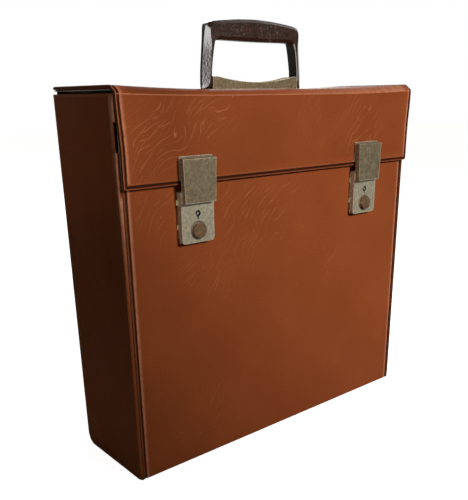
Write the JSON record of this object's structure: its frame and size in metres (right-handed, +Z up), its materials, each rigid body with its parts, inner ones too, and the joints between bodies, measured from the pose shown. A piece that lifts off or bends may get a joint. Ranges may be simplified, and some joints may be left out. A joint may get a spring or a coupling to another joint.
{
  "type": "record carrying case",
  "caption": "Upright record carrying case covered in brown leathercloth, with a hinged lid, a front flap held by square hasps on push-button locks, and a folding bail handle on top.",
  "frame": {"origin": "middle of the case's base, on the surface that it stands on, under the case's own box and not the latches", "axes": "+X to the right along the front, +Y from the front to the back, +Z up towards the handle"},
  "size_m": [0.35, 0.109, 0.3871],
  "materials": {
    "fibreboard": "matt pressed fibreboard",
    "leathercloth": "tan-brown PVC leathercloth with fine hide creases, satin",
    "lining_paper": "matt dark brown lining paper",
    "antique_brass": "mottled antique brass plate on pressed steel",
    "button_brown": "dark bronzed push button",
    "bright_steel": "zinc-plated steel",
    "handle_brown": "dark brown moulded plastic, leather-grained"
  },
  "bodies": {
    "case": {"front_board": "fibreboard", "back_board": "fibreboard", "left_side_board": "fibreboard", "right_side_board": "fibreboard", "bottom_board": "fibreboard", "front_cover": "leathercloth", "back_cover": "leathercloth", "left_side_cover": "leathercloth", "right_side_cover": "leathercloth", "bottom_cover": "leathercloth", "front_lining": "lining_paper", "back_lining": "lining_paper", "left_side_lining": "lining_paper", "right_side_lining": "lining_paper", "bottom_lining": "lining_paper", "lock_base_left": "antique_brass", "lock_base_right": "antique_brass", "lock_face_left": "antique_brass", "lock_face_right": "antique_brass", "catch_spring_left": "bright_steel", "catch_spring_right": "bright_steel", "lock_rivets": "bright_steel", "lock_washers": "bright_steel", "rear_hinge_strip": "leathercloth"},
    "lid": {"lid_board": "fibreboard", "lid_cover": "leathercloth", "lid_lining": "lining_paper", "handle_base": "antique_brass", "handle_backing_plate": "bright_steel", "handle_rivets": "bright_steel", "front_hinge_strip": "leathercloth"},
    "flap": {"flap_board": "fibreboard", "flap_cover": "leathercloth", "flap_lining": "lining_paper", "hasp_base_left": "antique_brass", "hasp_base_right": "antique_brass", "hasp_rivets": "bright_steel", "hasp_washers": "bright_steel", "hasp_pin_left": "bright_steel", "hasp_pin_right": "bright_steel"},
    "handle": {"handle_grip": "handle_brown", "handle_pins": "bright_steel"},
    "hasp_left": {"hasp_cover_left": "antique_brass", "hasp_lug_left": "bright_steel"},
    "hasp_right": {"hasp_cover_right": "antique_brass", "hasp_lug_right": "bright_steel"},
    "button_left": {"lock_button_left": "button_brown"},
    "button_right": {"lock_button_right": "button_brown"},
    "catch_left": {"lock_catch_left": "bright_steel"},
    "catch_right": {"lock_catch_right": "bright_steel"},
    "bolt_left": {"lock_bolt_left": "bright_steel"},
    "bolt_right": {"lock_bolt_right": "bright_steel"}
  },
  "joints": [
    {"name": "lid_hinge", "type": "hinge", "parent": "case", "child": "lid", "pos_m": [0, 0.049, 0.3247], "axis": [-1, 0, 0], "range_deg": [0, 110], "deforming": ["rear_hinge_strip"]},
    {"name": "flap_hinge", "type": "hinge", "parent": "lid", "child": "flap", "pos_m": [0, -0.0498, 0.3238], "axis": [-1, 0, 0], "range_deg": [0, 90], "deforming": ["front_hinge_strip"]},
    {"name": "handle_swing", "type": "hinge", "parent": "lid", "child": "handle", "pos_m": [0, -0.0032, 0.336], "axis": [-1, 0, 0], "range_deg": [-80, 80]},
    {"name": "hasp_swing_left", "type": "hinge", "parent": "flap", "child": "hasp_left", "pos_m": [-0.106, -0.05755, 0.27475], "axis": [-1, 0, 0], "range_deg": [0, 95]},
    {"name": "button_push_left", "type": "slide", "parent": "case", "child": "button_left", "axis": [0, 1, 0], "range_m": [0, 0.0018], "stiffness_N_per_m": 600, "springref_m": -0.001},
    {"name": "catch_slide_left", "type": "slide", "parent": "case", "child": "catch_left", "axis": [0, 0, -1], "range_m": [0, 0.0018], "deforming": ["catch_spring_left"]},
    {"name": "bolt_slide_left", "type": "slide", "parent": "case", "child": "bolt_left", "axis": [1, 0, 0], "range_m": [-0.0028, 0]},
    {"name": "hasp_swing_right", "type": "hinge", "parent": "flap", "child": "hasp_right", "pos_m": [0.106, -0.05755, 0.27475], "axis": [-1, 0, 0], "range_deg": [0, 95]},
    {"name": "button_push_right", "type": "slide", "parent": "case", "child": "button_right", "axis": [0, 1, 0], "range_m": [0, 0.0018], "stiffness_N_per_m": 600, "springref_m": -0.001},
    {"name": "catch_slide_right", "type": "slide", "parent": "case", "child": "catch_right", "axis": [0, 0, -1], "range_m": [0, 0.0018], "deforming": ["catch_spring_right"]},
    {"name": "bolt_slide_right", "type": "slide", "parent": "case", "child": "bolt_right", "axis": [1, 0, 0], "range_m": [-0.0028, 0]}
  ],
  "couplings": [
    {"joint": "catch_slide_left", "follows": "button_push_left", "ratio": 1},
    {"joint": "catch_slide_right", "follows": "button_push_right", "ratio": 1}
  ]
}
